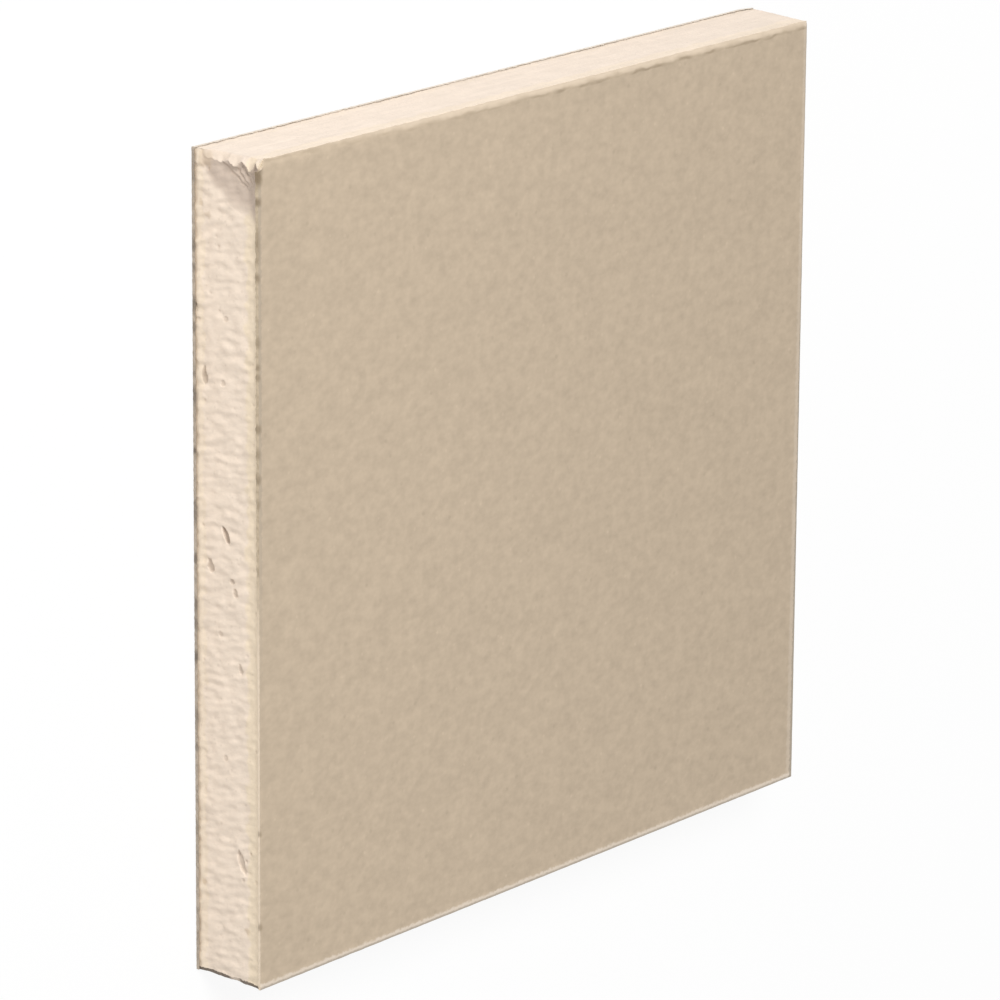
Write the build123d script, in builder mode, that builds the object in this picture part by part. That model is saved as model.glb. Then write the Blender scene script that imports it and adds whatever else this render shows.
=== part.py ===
"""A square-cut piece of drywall: a gypsum core between two bonded paper liners.

Millimetres, +Z up. The piece lies on its back liner with its face liner up.
The origin is at the centre of its underside. X runs from the sawn end with the
air voids, at -X, to the opposite end. Y runs towards the trimmed edge, at +Y.
"""

import os

from build123d import *

# Sizes of the piece as cut
board_length = 120.0  # along X, between the two sawn ends
board_width = 120.0  # along Y, between the two trimmed edges
board_thickness = 12.5  # over both liners
face_liner_thickness = 0.4
back_liner_thickness = 0.4

# Corner of the face liner that is torn away
torn_corner = 1.6

# Corner of the core that broke when it was cut, at -X and +Y: the top arris is
# gone, a lip is left below it, and a shallow recess runs down the sawn end
spall_height = 8.5  # from the trimmed edge down to the foot of the recess
spall_depth = 0.9  # deepest place of the recess
recess_mouth = 0.6  # from the lip down to that deepest place
lip_drop = 1.5  # from the trimmed edge down to the lip
lip_setback = 0.1  # from the sawn end in to the lip
arris_setback = 1.1  # from the sawn end in to what is left of the arris
spall_back_gap = 1.2  # core left whole between the spall and the back liner
spall_back_share = 0.2  # size of the spall at its end near the back liner

# Air voids that the saw opened in the end at -X
longest_void = 3.5
void_width = 0.5
void_depth = 0.9
steepest_lean = 34.0  # degrees from the sawn end's length, towards the face liner

# For each void: its place along the sawn end away from the spall, as a share of
# board_width; its place through the core, as a share of the core's thickness;
# its length, as a share of longest_void; its lean, as a share of steepest_lean
void_shares = [
    (-0.232, -0.350, 0.92, 0.25),
    (-0.051, 0.020, 0.69, 1.00),
    (-0.008, -0.240, 0.48, 0.75),
    (0.004, 0.105, 0.20, 1.00),
    (0.018, 0.170, 0.28, 0.55),
    (0.108, 0.250, 0.28, 0.30),
    (0.347, 0.265, 1.00, 0.60),
]

# Cuts run this far past the face that they open
overrun = 1.0

# Places that follow from the sizes
core_thickness = board_thickness - face_liner_thickness - back_liner_thickness
core_bottom = back_liner_thickness
core_top = core_bottom + core_thickness
sawn_end = -board_length / 2
trimmed_edge = board_width / 2


def spall_section(share):
    """Points of the broken corner's section, seen along Z, at a share of its size."""
    outside = sawn_end - overrun
    lip = trimmed_edge - lip_drop * share
    foot = trimmed_edge - spall_height * share
    deepest = lip - recess_mouth * share
    return [
        (outside, foot),
        (sawn_end, foot),
        (sawn_end + spall_depth * share, deepest),
        (sawn_end + lip_setback * share, lip),
        (sawn_end + arris_setback * share, trimmed_edge),
        (sawn_end + arris_setback * share, trimmed_edge + overrun),
        (outside, trimmed_edge + overrun),
    ]


# Back liner: the grey paper that the piece lies on
with BuildPart() as back_liner:
    with BuildSketch():
        Rectangle(board_length, board_width)
    extrude(amount=back_liner_thickness)

# Gypsum core: a cast slab, broken at one corner and open where the saw met voids
with BuildPart() as gypsum_core:
    with BuildSketch(Plane.XY.offset(core_bottom)):
        Rectangle(board_length, board_width)
    extrude(amount=core_thickness)

    for height, share in (
        (core_bottom + spall_back_gap, spall_back_share),
        (core_top, 1),
    ):
        with BuildSketch(Plane.XY.offset(height)):
            with BuildLine():
                Polyline(spall_section(share), close=True)
            make_face()
    loft(ruled=True, mode=Mode.SUBTRACT)

    sawn_face = Plane(
        origin=(sawn_end, 0, core_bottom + core_thickness / 2),
        x_dir=(0, -1, 0),
        z_dir=(-1, 0, 0),
    )
    with BuildSketch(sawn_face):
        for along_share, through_share, length_share, lean_share in void_shares:
            place = (along_share * board_width, through_share * core_thickness)
            with Locations(place):
                Ellipse(
                    length_share * longest_void / 2,
                    void_width / 2,
                    rotation=lean_share * steepest_lean,
                )
    extrude(amount=-void_depth, mode=Mode.SUBTRACT)

# Face liner: the smooth tan paper on top, torn at the broken corner
with BuildPart() as face_liner:
    with BuildSketch(Plane.XY.offset(core_top)):
        Rectangle(board_length, board_width)
    extrude(amount=face_liner_thickness)
    upright = face_liner.edges().filter_by(Axis.Z)
    chamfer(upright.group_by(Axis.X)[0].sort_by(Axis.Y)[-1], torn_corner)

os.makedirs("parts", exist_ok=True)
for name, piece in (
    ("back_liner", back_liner),
    ("gypsum_core", gypsum_core),
    ("face_liner", face_liner),
):
    piece.part.label = name
    export_step(piece.part, f"parts/{name}.step")
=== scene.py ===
"""Dresses a square-cut piece of drywall: a sawn gypsum core between two paper liners.

Metres, +Z up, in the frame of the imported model. The piece lies on its back liner.
The sawn end with the open voids is at -X, and the bright trimmed edge is at +Y.
"""

import logging
import math
from dataclasses import dataclass, field
from enum import Enum
from functools import reduce

import bpy
import numpy as np
from mathutils import Matrix, Vector, noise


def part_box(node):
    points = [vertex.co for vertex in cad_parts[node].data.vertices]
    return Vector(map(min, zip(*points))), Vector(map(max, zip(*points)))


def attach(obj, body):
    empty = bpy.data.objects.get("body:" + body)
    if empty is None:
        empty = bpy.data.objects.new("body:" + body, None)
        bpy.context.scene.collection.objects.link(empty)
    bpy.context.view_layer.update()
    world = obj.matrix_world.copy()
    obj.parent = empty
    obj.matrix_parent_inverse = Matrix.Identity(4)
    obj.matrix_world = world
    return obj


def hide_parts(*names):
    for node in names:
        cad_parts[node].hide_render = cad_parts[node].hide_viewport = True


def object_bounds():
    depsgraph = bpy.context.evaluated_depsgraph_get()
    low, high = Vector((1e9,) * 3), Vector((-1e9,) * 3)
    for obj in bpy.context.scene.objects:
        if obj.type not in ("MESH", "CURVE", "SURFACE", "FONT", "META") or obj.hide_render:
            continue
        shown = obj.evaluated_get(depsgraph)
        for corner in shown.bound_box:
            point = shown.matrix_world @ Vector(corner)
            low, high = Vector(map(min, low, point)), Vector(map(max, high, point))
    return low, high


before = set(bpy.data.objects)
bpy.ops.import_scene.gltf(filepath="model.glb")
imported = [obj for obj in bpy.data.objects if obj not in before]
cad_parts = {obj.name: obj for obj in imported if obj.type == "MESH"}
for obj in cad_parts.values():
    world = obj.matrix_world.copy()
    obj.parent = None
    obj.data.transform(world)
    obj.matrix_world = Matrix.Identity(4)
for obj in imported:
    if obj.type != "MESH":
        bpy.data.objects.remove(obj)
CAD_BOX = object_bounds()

LOG = logging.getLogger("drywall")
BODY = "root"
TINY = 1e-6  # two places nearer than this, in metres, are the same place
DIAGONAL = math.sqrt(0.5)
SMOOTH_ANGLE = math.radians(55)  # edges that turn more sharply than this show as edges
MATTE = 0.25  # specular level of paper and gypsum
WHOLE_RIM = (-1.0, -0.9)  # a stretch that ends before the board begins
BROAD = (0.25, 0.75)  # range that soft noise hardly leaves
CLOSE = (0.3, 0.7)  # range that soft noise mostly keeps to
FACING = (0.5, 0.8)  # part of a normal along an axis, from not facing that way to facing it
EDGE_FACING = (0.6, 0.85)  # the same for the trimmed edges, which keep clear of their arrises
CUT_FACING = (0.75, 0.45)  # part of a normal along Z, from a sheet's face to its cut thickness

Pair = tuple[float, float]
Triple = tuple[float, float, float]
Colour = Triple
Input = float | tuple[float, ...] | bpy.types.NodeSocket


class Side(Enum):
    """The four cut sides of the board, each as the way that it faces."""

    SAWN_END = (-1, 0)
    FAR_END = (1, 0)
    TRIMMED_EDGE = (0, 1)
    NEAR_EDGE = (0, -1)


class Element(Enum):
    """What an edit-mode selection is made of, as Blender's three select switches."""

    VERTICES = (True, False, False)
    EDGES = (False, True, False)
    FACES = (False, False, True)


class Push(Enum):
    """The axis that a relief is pushed along."""

    X = 0
    Y = 1
    Z = 2


def smooth_step(low: float, high: float, value: float) -> float:
    """Eases from 0 to 1 as a value passes from one bound to another.

    Args:
        low: Where the result is 0.
        high: Where the result is 1. It may lie below low.
        value: What is eased.

    Returns:
        A share from 0 to 1.
    """
    share = min(1.0, max(0.0, (value - low) / (high - low)))
    return share * share * (3 - 2 * share)


def grain(along: float, across: float, seed: float) -> float:
    """Smooth noise on a plane.

    Args:
        along: First place, in grains.
        across: Second place, in grains.
        seed: Picks the pattern.

    Returns:
        A value from about -0.8 to 0.8.
    """
    return noise.noise(Vector((along, across, seed)))


@dataclass(frozen=True)
class Rim:
    """A straight line that the board's outline follows."""

    out: Pair  # unit vector that points out of the board
    distance: float  # of the line from the origin

    def inward(self, places: np.ndarray) -> np.ndarray:
        """How far each place lies in from the rim."""
        return self.distance - places[:, :2] @ np.array(self.out)

    def along(self, places: np.ndarray) -> np.ndarray:
        """How far each place lies along the rim, towards +X or +Y."""
        return places[:, :2] @ np.abs((self.out[1], self.out[0]))


def side_rim(side: Side, high: Vector) -> Rim:
    """The rim of one side of a board that is centred on the origin.

    Args:
        side: The side.
        high: The board's highest corner.

    Returns:
        The rim.
    """
    return Rim(side.value, abs(side.value[0]) * high.x + abs(side.value[1]) * high.y)


class Workpiece:
    """A mesh shaped by hand: a plate that is split, extruded and pressed in edit mode."""

    def __init__(self, name: str, low: Vector, high: Vector) -> None:
        """Adds the plate that the piece starts from.

        Args:
            name: Name of the finished piece.
            low: Lowest corner of the box that the piece fills.
            high: Highest corner of that box.
        """
        bpy.ops.object.select_all(action="DESELECT")
        centre = (low + high) / 2
        bpy.ops.mesh.primitive_plane_add(size=1, location=(centre.x, centre.y, low.z))
        self.object = bpy.context.object
        self.object.name = name
        self.object.data.name = name
        size = high - low
        self.object.scale = (size.x, size.y, 1)
        bpy.ops.object.transform_apply(location=True, rotation=True, scale=True)

    @property
    def mesh(self) -> bpy.types.Mesh:
        """The piece's mesh."""
        return self.object.data

    def read(self, items: bpy.types.bpy_prop_collection, name: str, empty: np.ndarray) -> np.ndarray:
        """Reads a few numbers from each vertex, edge or face.

        Args:
            items: The vertices, edges or faces.
            name: What is read.
            empty: An empty row for each of them, of the right type.

        Returns:
            The filled rows.
        """
        found = empty.ravel()
        items.foreach_get(name, found)
        return found.reshape(empty.shape)

    def places(self) -> np.ndarray:
        """The vertices' places, one row each."""
        rows = np.empty((len(self.mesh.vertices), 3), np.float32)
        return self.read(self.mesh.vertices, "co", rows).astype(float)

    def face_middles(self) -> np.ndarray:
        """The faces' middles, one row each."""
        rows = np.empty((len(self.mesh.polygons), 3), np.float32)
        return self.read(self.mesh.polygons, "center", rows).astype(float)

    def edge_ends(self) -> np.ndarray:
        """The places of the edges' first ends, and those of their second ends."""
        rows = np.empty((len(self.mesh.edges), 2), np.int32)
        return self.places()[self.read(self.mesh.edges, "vertices", rows).T]

    def select(self, element: Element, chosen: np.ndarray) -> None:
        """Opens edit mode with only the chosen elements selected.

        Args:
            element: What is selected.
            chosen: One flag for each such element.
        """
        bpy.ops.object.mode_set(mode="OBJECT")
        bpy.context.tool_settings.mesh_select_mode = element.value
        groups = {
            Element.VERTICES: self.mesh.vertices,
            Element.EDGES: self.mesh.edges,
            Element.FACES: self.mesh.polygons,
        }
        for group in groups.values():
            group.foreach_set("select", np.zeros(len(group), bool))
        groups[element].foreach_set("select", chosen)
        bpy.ops.object.mode_set(mode="EDIT")

    def select_all_faces(self) -> None:
        """Opens edit mode with every face selected."""
        self.select(Element.FACES, np.ones(len(self.mesh.polygons), bool))

    def close(self) -> None:
        """Leaves edit mode."""
        bpy.ops.object.mode_set(mode="OBJECT")

    def split(self, element: Element, chosen: np.ndarray, cuts: int) -> None:
        """Divides edges or faces evenly.

        Args:
            element: Which of the two.
            chosen: One flag for each of them.
            cuts: How many new points each chosen edge gets.
        """
        self.select(element, chosen)
        bpy.ops.mesh.subdivide(number_cuts=cuts)
        self.close()

    def split_rim(self, rim: Rim, stages: tuple[int, ...], reach: float = 0.0) -> None:
        """Divides the edges that run along one rim, in stages of at most 100 parts.

        Args:
            rim: The rim.
            stages: How many parts each edge is divided into at each stage.
            reach: How far in from the rim such edges are still taken.
        """
        for parts in stages:
            first, second = (rim.inward(ends) for ends in self.edge_ends())
            runs_along = np.abs(first - second) < TINY
            self.split(Element.EDGES, runs_along & (first < reach + TINY), parts - 1)

    def split_upright(self, cuts: int) -> None:
        """Divides every upright edge, so that the walls become rows of small faces.

        Args:
            cuts: How many rows of points each wall gets between top and bottom.
        """
        first, second = self.edge_ends()
        self.split(Element.EDGES, np.abs(first[:, 2] - second[:, 2]) > TINY, cuts)

    def cut_corner(self, place: Pair, size: float) -> None:
        """Bevels one corner of the plate.

        Args:
            place: Where the corner is.
            size: How much of each edge goes.
        """
        away = np.abs(self.places()[:, :2] - np.array(place)).max(axis=1)
        self.select(Element.VERTICES, away < TINY)
        bpy.ops.mesh.bevel(offset=size, affect="VERTICES", segments=1)
        self.close()

    def lay_rings(self, widths: tuple[float, ...]) -> None:
        """Lays rings of faces along the outline of the plate.

        Args:
            widths: Width of each ring, the outermost first.
        """
        self.select_all_faces()
        for width in widths:
            bpy.ops.mesh.inset(thickness=width, depth=0)
        self.close()

    def raise_solid(self, height: float) -> None:
        """Extrudes all that is there upwards into a closed solid.

        Args:
            height: How far up.
        """
        self.select_all_faces()
        bpy.ops.mesh.extrude_region_move(TRANSFORM_OT_translate={"value": (0, 0, height)})
        bpy.ops.mesh.select_all(action="SELECT")
        bpy.ops.mesh.normals_make_consistent(inside=False)
        self.close()

    def press(self, moves: np.ndarray) -> None:
        """Moves vertices with painted weights and a displacement along each axis.

        Args:
            moves: How far each vertex goes, one row each, in metres.
        """
        for push in Push:
            for way in (1, -1):
                parts = np.clip(way * moves[:, push.value], 0, None)
                if parts.max() > TINY:
                    self.displace(push, way, parts)

    def displace(self, push: Push, way: int, parts: np.ndarray) -> None:
        """Moves vertices one way along one axis.

        Args:
            push: The axis.
            way: 1 along it, -1 back along it.
            parts: How far each vertex goes.
        """
        furthest = float(parts.max())
        painted = self.object.vertex_groups.new(name="painted")
        for index in np.flatnonzero(parts):
            painted.add([int(index)], float(parts[index] / furthest), "REPLACE")
        relief = self.object.modifiers.new("relief", "DISPLACE")
        relief.vertex_group = painted.name
        relief.direction = push.name
        relief.mid_level = 0
        relief.strength = way * furthest
        bpy.context.view_layer.objects.active = self.object
        bpy.ops.object.modifier_apply(modifier=relief.name)
        self.object.vertex_groups.clear()

    def mark(self, name: str, values: np.ndarray) -> None:
        """Keeps one number for each vertex, for a material to read.

        Args:
            name: Name of the attribute.
            values: The numbers.
        """
        layer = self.mesh.attributes.new(name, "FLOAT", "POINT")
        layer.data.foreach_set("value", values.astype(np.float32))

    def finish(self, material: bpy.types.Material, slot: str, node: str) -> None:
        """Smooths the piece, gives it its material and puts it in place of a CAD node.

        Args:
            material: Its finish.
            slot: Not used.
            node: The CAD node that it stands for.
        """
        bpy.ops.object.select_all(action="DESELECT")
        self.object.select_set(True)
        bpy.context.view_layer.objects.active = self.object
        bpy.ops.object.shade_smooth_by_angle(angle=SMOOTH_ANGLE)
        self.mesh.materials.append(material)
        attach(self.object, BODY)
        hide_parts(node)
        LOG.info("%s: %d faces", self.object.name, len(self.mesh.polygons))


class NodeBench:
    """Adds and links the nodes of one material or world."""

    def __init__(self, tree: bpy.types.NodeTree) -> None:
        """Clears a node tree and takes it over.

        Args:
            tree: The tree.
        """
        self.tree = tree
        self.tree.nodes.clear()

    def node(self, kind: str, inputs: dict[str | int, Input], **settings: object) -> bpy.types.Node:
        """Adds one node.

        Args:
            kind: Blender's name for it, without the leading ShaderNode.
            inputs: Values or sockets for its inputs, by name or number.
            **settings: The node's own settings.

        Returns:
            The new node.
        """
        made = self.tree.nodes.new("ShaderNode" + kind)
        for name, value in settings.items():
            setattr(made, name, value)
        for name, value in inputs.items():
            if isinstance(value, bpy.types.NodeSocket):
                self.tree.links.new(value, made.inputs[name])
            else:
                made.inputs[name].default_value = value
        return made

    def parts(self, vector: Input) -> tuple[Input, ...]:
        """The three parts of a vector."""
        return tuple(self.node("SeparateXYZ", {0: vector}).outputs)

    def stretched(self, vector: Input, scale: Triple) -> Input:
        """A place scaled along each axis."""
        return self.node("Mapping", {"Vector": vector, "Scale": scale}).outputs[0]

    def noise(self, vector: Input, size: float, detail: float = 2, rough: float = 0.5) -> Input:
        """Soft noise.

        Args:
            vector: Where it is read.
            size: Size of its features, in the units of the vector.
            detail: How many finer layers it has.
            rough: How strong those are.

        Returns:
            A socket with values around 0.5.
        """
        inputs = {"Vector": vector, "Scale": 1 / size, "Detail": detail, "Roughness": rough}
        return self.node("TexNoise", inputs).outputs["Fac"]

    def cells(self, vector: Input, size: float) -> Input:
        """Distance to the nearest of scattered points, in cells of a given size."""
        return self.node("TexVoronoi", {"Vector": vector, "Scale": 1 / size}).outputs["Distance"]

    def attribute(self, name: str) -> Input:
        """A number that the mesh keeps for each vertex."""
        return self.node("Attribute", {}, attribute_name=name).outputs["Fac"]

    def span(self, value: Input, low: float, high: float, to: Pair = (0, 1)) -> Input:
        """Eases a value from one range to another.

        Args:
            value: What is eased.
            low: Where the result starts.
            high: Where it ends.
            to: The first and last result.

        Returns:
            A socket within that range.
        """
        inputs = {0: value, 1: low, 2: high, 3: to[0], 4: to[1]}
        return self.node("MapRange", inputs, interpolation_type="SMOOTHSTEP").outputs[0]

    def wander(self, pattern: Input, reach: float) -> Input:
        """Soft noise turned into a shift from -reach to reach."""
        return self.span(pattern, *BROAD, (-reach, reach))

    def varied(self, pattern: Input, to: Pair) -> Input:
        """Soft noise spread over a given range."""
        return self.span(pattern, *CLOSE, to)

    def sum(self, operation: str, first: Input, second: Input = 0.0) -> Input:
        """One arithmetic step on one or two values."""
        return self.node("Math", {0: first, 1: second}, operation=operation).outputs[0]

    def product(self, *values: Input) -> Input:
        """Values multiplied together."""
        return reduce(lambda made, value: self.sum("MULTIPLY", made, value), values)

    def mix(self, share: Input, first: Input, second: Input, blend: str = "MIX") -> Input:
        """Mixes two colours.

        Args:
            share: How much of the second.
            first: A colour.
            second: Another.
            blend: Blender's name for the way of mixing.

        Returns:
            The mixed colour.
        """
        colours = [c if isinstance(c, bpy.types.NodeSocket) else (*c, 1) for c in (first, second)]
        inputs = {0: share, 6: colours[0], 7: colours[1]}
        return self.node("Mix", inputs, data_type="RGBA", blend_type=blend).outputs[2]

    def shade(self, colour: Input, factor: Input) -> Input:
        """A colour made lighter or darker by a factor."""
        grey = self.node("CombineColor", {0: factor, 1: factor, 2: factor}).outputs[0]
        return self.mix(1.0, colour, grey, "MULTIPLY")

    def seen_straight(self) -> Input:
        """Tells what is seen from what only lights something.

        Returns:
            1 for what the camera, a reflection or a refraction sees, and 0 for light.
        """
        path = self.node("LightPath", {}).outputs
        reflected = self.sum("MAXIMUM", path["Is Glossy Ray"], path["Is Transmission Ray"])
        return self.sum("MAXIMUM", path["Is Camera Ray"], reflected)


class SurfaceBench(NodeBench):
    """The bench of a piece's finish, which knows each point's place and the way that it faces."""

    def __init__(self, name: str) -> None:
        """Makes an empty material.

        Args:
            name: Its name.
        """
        self.material = bpy.data.materials.new(name)
        self.material.use_nodes = True
        super().__init__(self.material.node_tree)
        point = self.node("TexCoord", {}).outputs
        self.place = point["Object"]
        self.x, self.y, self.z = self.parts(point["Object"])
        self.out_x, self.out_y, self.out_z = self.parts(point["Normal"])

    def surface(self, colour: Input, roughness: float, height: Input, depth: float) -> None:
        """Ends the tree in a matte surface with fine relief.

        Args:
            colour: Its colour.
            roughness: Its roughness, the same all over.
            height: Its relief, around 0.5.
            depth: How deep that relief is, in metres.
        """
        bump = self.node("Bump", {"Height": height, "Distance": depth, "Strength": 1.0})
        shader = self.node(
            "BsdfPrincipled",
            {"Base Color": colour, "Roughness": roughness, "Normal": bump.outputs[0]},
        )
        shader.inputs["Specular IOR Level"].default_value = MATTE
        self.node("OutputMaterial", {"Surface": shader.outputs[0]})


@dataclass(frozen=True)
class WornShadedRim:
    """Painted shade and scuffed fibres along one rim of a sheet: a dark band at the cut that stands in
    for shade there, and a lighter band of fibres beyond it.
    """

    side: Side
    painted_shade: float  # how strong the painted shade is
    shade_end: float  # from the cut in to where the painted shade ends
    scuff: float = 0.0  # how light the scuffed fibres beyond it are
    scuff_end: float = 0.001  # from the cut in to where they end
    grows: Pair = WHOLE_RIM  # places along the rim between which both gain strength
    # colour of the painted shade at the cut
    painted_shade_colour: Colour = (0.37, 0.315, 0.25)
    scuff_colour: Colour = (0.72, 0.63, 0.53)
    stray: float = 0.00016  # how far both wander in and out
    stray_length: float = 0.0007

    def wear_and_shade(self, bench: SurfaceBench, colour: Input, half: float) -> Input:
        """Adds the painted shade and the scuffed fibres to a sheet.

        Args:
            bench: Where the nodes go.
            colour: The sheet's colour.
            half: Half the side of the sheet.

        Returns:
            The colour with its scuffed and shaded rim.
        """
        spot = (bench.x, bench.y)
        axis = 0 if self.side.value[0] else 1
        outward = bench.product(spot[axis], float(self.side.value[axis]))
        ragged = bench.wander(bench.noise(bench.place, self.stray_length, 2, 0.6), self.stray)
        distance = bench.sum("ADD", bench.sum("SUBTRACT", half, outward), ragged)
        grown = bench.span(spot[1 - axis], *self.grows)
        scuffed = bench.span(distance, self.scuff_end, 0.6 * self.scuff_end)
        colour = bench.mix(bench.product(scuffed, grown, self.scuff), colour, self.scuff_colour)
        # painted shade in a band along the cut
        shaded = bench.span(distance, 1.2 * self.shade_end, 0.8 * self.shade_end)
        return bench.mix(bench.product(shaded, grown, self.painted_shade), colour, self.painted_shade_colour)


@dataclass(frozen=True)
class TornPly:
    """The inner ply along the trimmed edge, with dashes of painted shadow where the outer ply ends."""

    colour: Colour = (0.68, 0.563, 0.435)
    strength: float = 0.9
    width: float = 0.00095  # how far the outer ply is torn back
    least_width: float = 0.35  # share of that width by the sawn end
    widens: Pair = (-0.058, -0.018)  # places along the edge between which the width grows
    border: Pair = (-0.0001, 0.00095)  # where the ply begins and is full, from the tear outwards
    stray: float = 0.00018  # how far the tear wanders
    stray_length: float = 0.0010
    shadow_dash_colour: Colour = (0.25, 0.19, 0.125)
    dash_edge: Pair = (0.00034, 0.00004)  # from the tear to where a dash ends and is full
    dash_length: float = 0.0016
    dash_noise: Pair = (0.42, 0.60)  # where a dash begins and is full, on its noise
    dash: Pair = (0.22, 1.0)  # how much painted shadow the tear gets between dashes, and on them
    darkens: Pair = (-0.012, 0.010)  # places along the edge between which the dashes gain strength
    strengths: Pair = (0.2, 0.58)  # their strength before and after that

    def lay(self, bench: SurfaceBench, colour: Input, half: float) -> Input:
        """Adds the ply and its dashes of painted shadow to a sheet.

        Args:
            bench: Where the nodes go.
            colour: The sheet's colour.
            half: Half the side of the sheet.

        Returns:
            The colour with the inner ply.
        """
        lying = bench.stretched(bench.place, (0.4, 1, 1))
        ragged = bench.wander(bench.noise(lying, self.stray_length, 1), self.stray)
        width = bench.span(bench.x, *self.widens, (self.least_width * self.width, self.width))
        tear = bench.sum("ADD", width, ragged)
        inside = bench.sum("SUBTRACT", tear, bench.sum("SUBTRACT", half, bench.y))
        ply = bench.product(bench.span(inside, *self.border), self.strength)
        colour = bench.mix(ply, colour, self.colour)
        # painted shadow of the torn outer ply, in dashes along the tear
        line = bench.span(bench.sum("ABSOLUTE", inside), *self.dash_edge)
        shadow_dashes = bench.span(bench.noise(lying, self.dash_length, 1), *self.dash_noise, self.dash)
        strength = bench.span(bench.x, *self.darkens, self.strengths)
        return bench.mix(bench.product(line, shadow_dashes, strength), colour, self.shadow_dash_colour)


@dataclass(frozen=True)
class Specks:
    """Specks of one kind, scattered over a sheet."""

    spacing: float
    tint: float  # how light they are next to the sheet
    shift: Triple = (0.0, 0.0, 0.0)  # moves their pattern off that of another kind
    radius: Pair = (0.13, 0.05)  # where a speck ends and is full, as shares of the spacing


@dataclass(frozen=True)
class PaperFinish:
    """Matte lining paper: mottled pulp with light and dark fibres, and fuzzy cut edges."""

    name: str
    colour: Colour
    cut_colour: Colour  # of the thickness that the cut shows
    knot_colour: Colour  # of the dark knots along that cut
    pale_cut_colour: Colour  # of the cut where the blade left it clean
    pale_below: float  # how clean the blade left the lower half of the ends
    pale_from: Pair = (0.004, -0.012)  # places along the ends between which it gets so
    ply: TornPly | None = None
    # rims with painted shade at the cut and scuffed fibres beyond it
    worn_shaded_rims: tuple[WornShadedRim, ...] = ()
    light_falloff: Pair = (1.02, 0.965)  # painted light: how light the sheet is painted at its sawn end and at its far end, for the lamp's falloff across it
    mottle: float = 0.092  # how far the mottling lightens and darkens
    # size, detail and share of each layer of that mottling
    pulp: tuple[Triple, ...] = ((0.0035, 1, 0.20), (0.0012, 1, 0.74), (0.0004, 0, 0.06))
    speck_kinds: tuple[Specks, ...] = (
        Specks(0.0034, 0.93),
        Specks(0.00272, 1.07, (0.3, 0.7, 0.0)),
    )
    # the way that each kind of fibre lies, in radians, and how light it is
    fibre_kinds: tuple[Pair, ...] = ((0.4, 1.06), (1.9, 0.94), (2.7, 1.05))
    fibre_share: float = 0.35
    fibre_length: float = 0.0011
    fibre_width: float = 0.00018
    fibre_noise: Pair = (0.66, 0.78)  # where a fibre begins and is full, on its noise
    fuzz: float = 0.0012  # size of the dark patches on the cut
    fuzz_noise: Pair = (0.35, 0.75)  # where a patch begins and is full, on its noise
    fuzz_share: float = 0.5
    fleck: float = 0.0004
    roughness: float = 0.92
    relief: float = 0.000012

    def material(self, half: float) -> bpy.types.Material:
        """Builds the material.

        Args:
            half: Half the side of the sheet, from its middle to a cut edge.

        Returns:
            The material.
        """
        bench = SurfaceBench(self.name)
        # painted light: lighter towards the sawn end, darker towards the far end
        painted_falloff = bench.span(bench.x, -half, half, self.light_falloff)
        tone = bench.product(painted_falloff, self.mottling(bench), self.specks(bench))
        colour = bench.shade(self.colour, tone)
        for turn, tint in self.fibre_kinds:
            tinted = tuple(part * tint for part in self.colour)
            colour = bench.mix(self.fibres(bench, turn), colour, tinted)
        if self.ply:
            colour = self.ply.lay(bench, colour, half)
        for rim in self.worn_shaded_rims:
            colour = rim.wear_and_shade(bench, colour, half)
        cut = bench.span(bench.sum("ABSOLUTE", bench.out_z), *CUT_FACING)
        colour = bench.mix(cut, colour, self.cut_edge(bench))
        # dark knots along the sawn end; the one by the torn corner is painted shade
        colour = bench.mix(bench.attribute("knot"), colour, self.knot_colour)
        height = bench.noise(bench.place, self.fleck, 4, 0.7)
        bench.surface(colour, self.roughness, height, self.relief)
        return bench.material

    def mottling(self, bench: SurfaceBench) -> Input:
        """The pulp's lighter and darker patches.

        Args:
            bench: Where the nodes go.

        Returns:
            A factor around 1.
        """
        lying = bench.stretched(bench.place, (0.8, 1, 1))
        total = 0.0
        for size, detail, share in self.pulp:
            total = bench.sum("ADD", total, bench.product(bench.noise(lying, size, detail), share))
        inputs = {0: total, 1: BROAD[0], 2: BROAD[1], 3: 1 - self.mottle, 4: 1 + self.mottle}
        return bench.node("MapRange", inputs).outputs[0]

    def specks(self, bench: SurfaceBench) -> Input:
        """Scattered light and dark specks.

        Args:
            bench: Where the nodes go.

        Returns:
            A factor around 1.
        """
        flat = bench.stretched(bench.place, (1, 1, 0))
        factor = 1.0
        for kind in self.speck_kinds:
            moved = bench.node("Mapping", {"Vector": flat, "Location": kind.shift}).outputs[0]
            tint = bench.span(bench.cells(moved, kind.spacing), *kind.radius, (1, kind.tint))
            factor = bench.product(factor, tint)
        return factor

    def fibres(self, bench: SurfaceBench, turn: float) -> Input:
        """Fibres that lie one way.

        Args:
            bench: Where the nodes go.
            turn: The way that they lie, in radians.

        Returns:
            How much of them each point shows.
        """
        turned = bench.node("Mapping", {"Vector": bench.place, "Rotation": (0, 0, turn)}).outputs[0]
        scale = (1 / self.fibre_length, 1 / self.fibre_width, 1 / self.fibre_length)
        strands = bench.noise(bench.stretched(turned, scale), 1.0, 1)
        return bench.product(bench.span(strands, *self.fibre_noise), self.fibre_share)

    def cut_edge(self, bench: SurfaceBench) -> Input:
        """The colour of the cut thickness.

        Args:
            bench: Where the nodes go.

        Returns:
            The colour.
        """
        patches = bench.noise(bench.place, self.fuzz, 2, 0.6)
        fuzz = bench.span(patches, *self.fuzz_noise, (0.0, self.fuzz_share))
        dragged = bench.mix(fuzz, self.cut_colour, self.knot_colour)
        above = bench.span(bench.out_y, *FACING)
        below = bench.product(bench.span(bench.y, *self.pale_from), self.pale_below)
        return bench.mix(bench.sum("MAXIMUM", above, below), dragged, self.pale_cut_colour)


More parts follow.
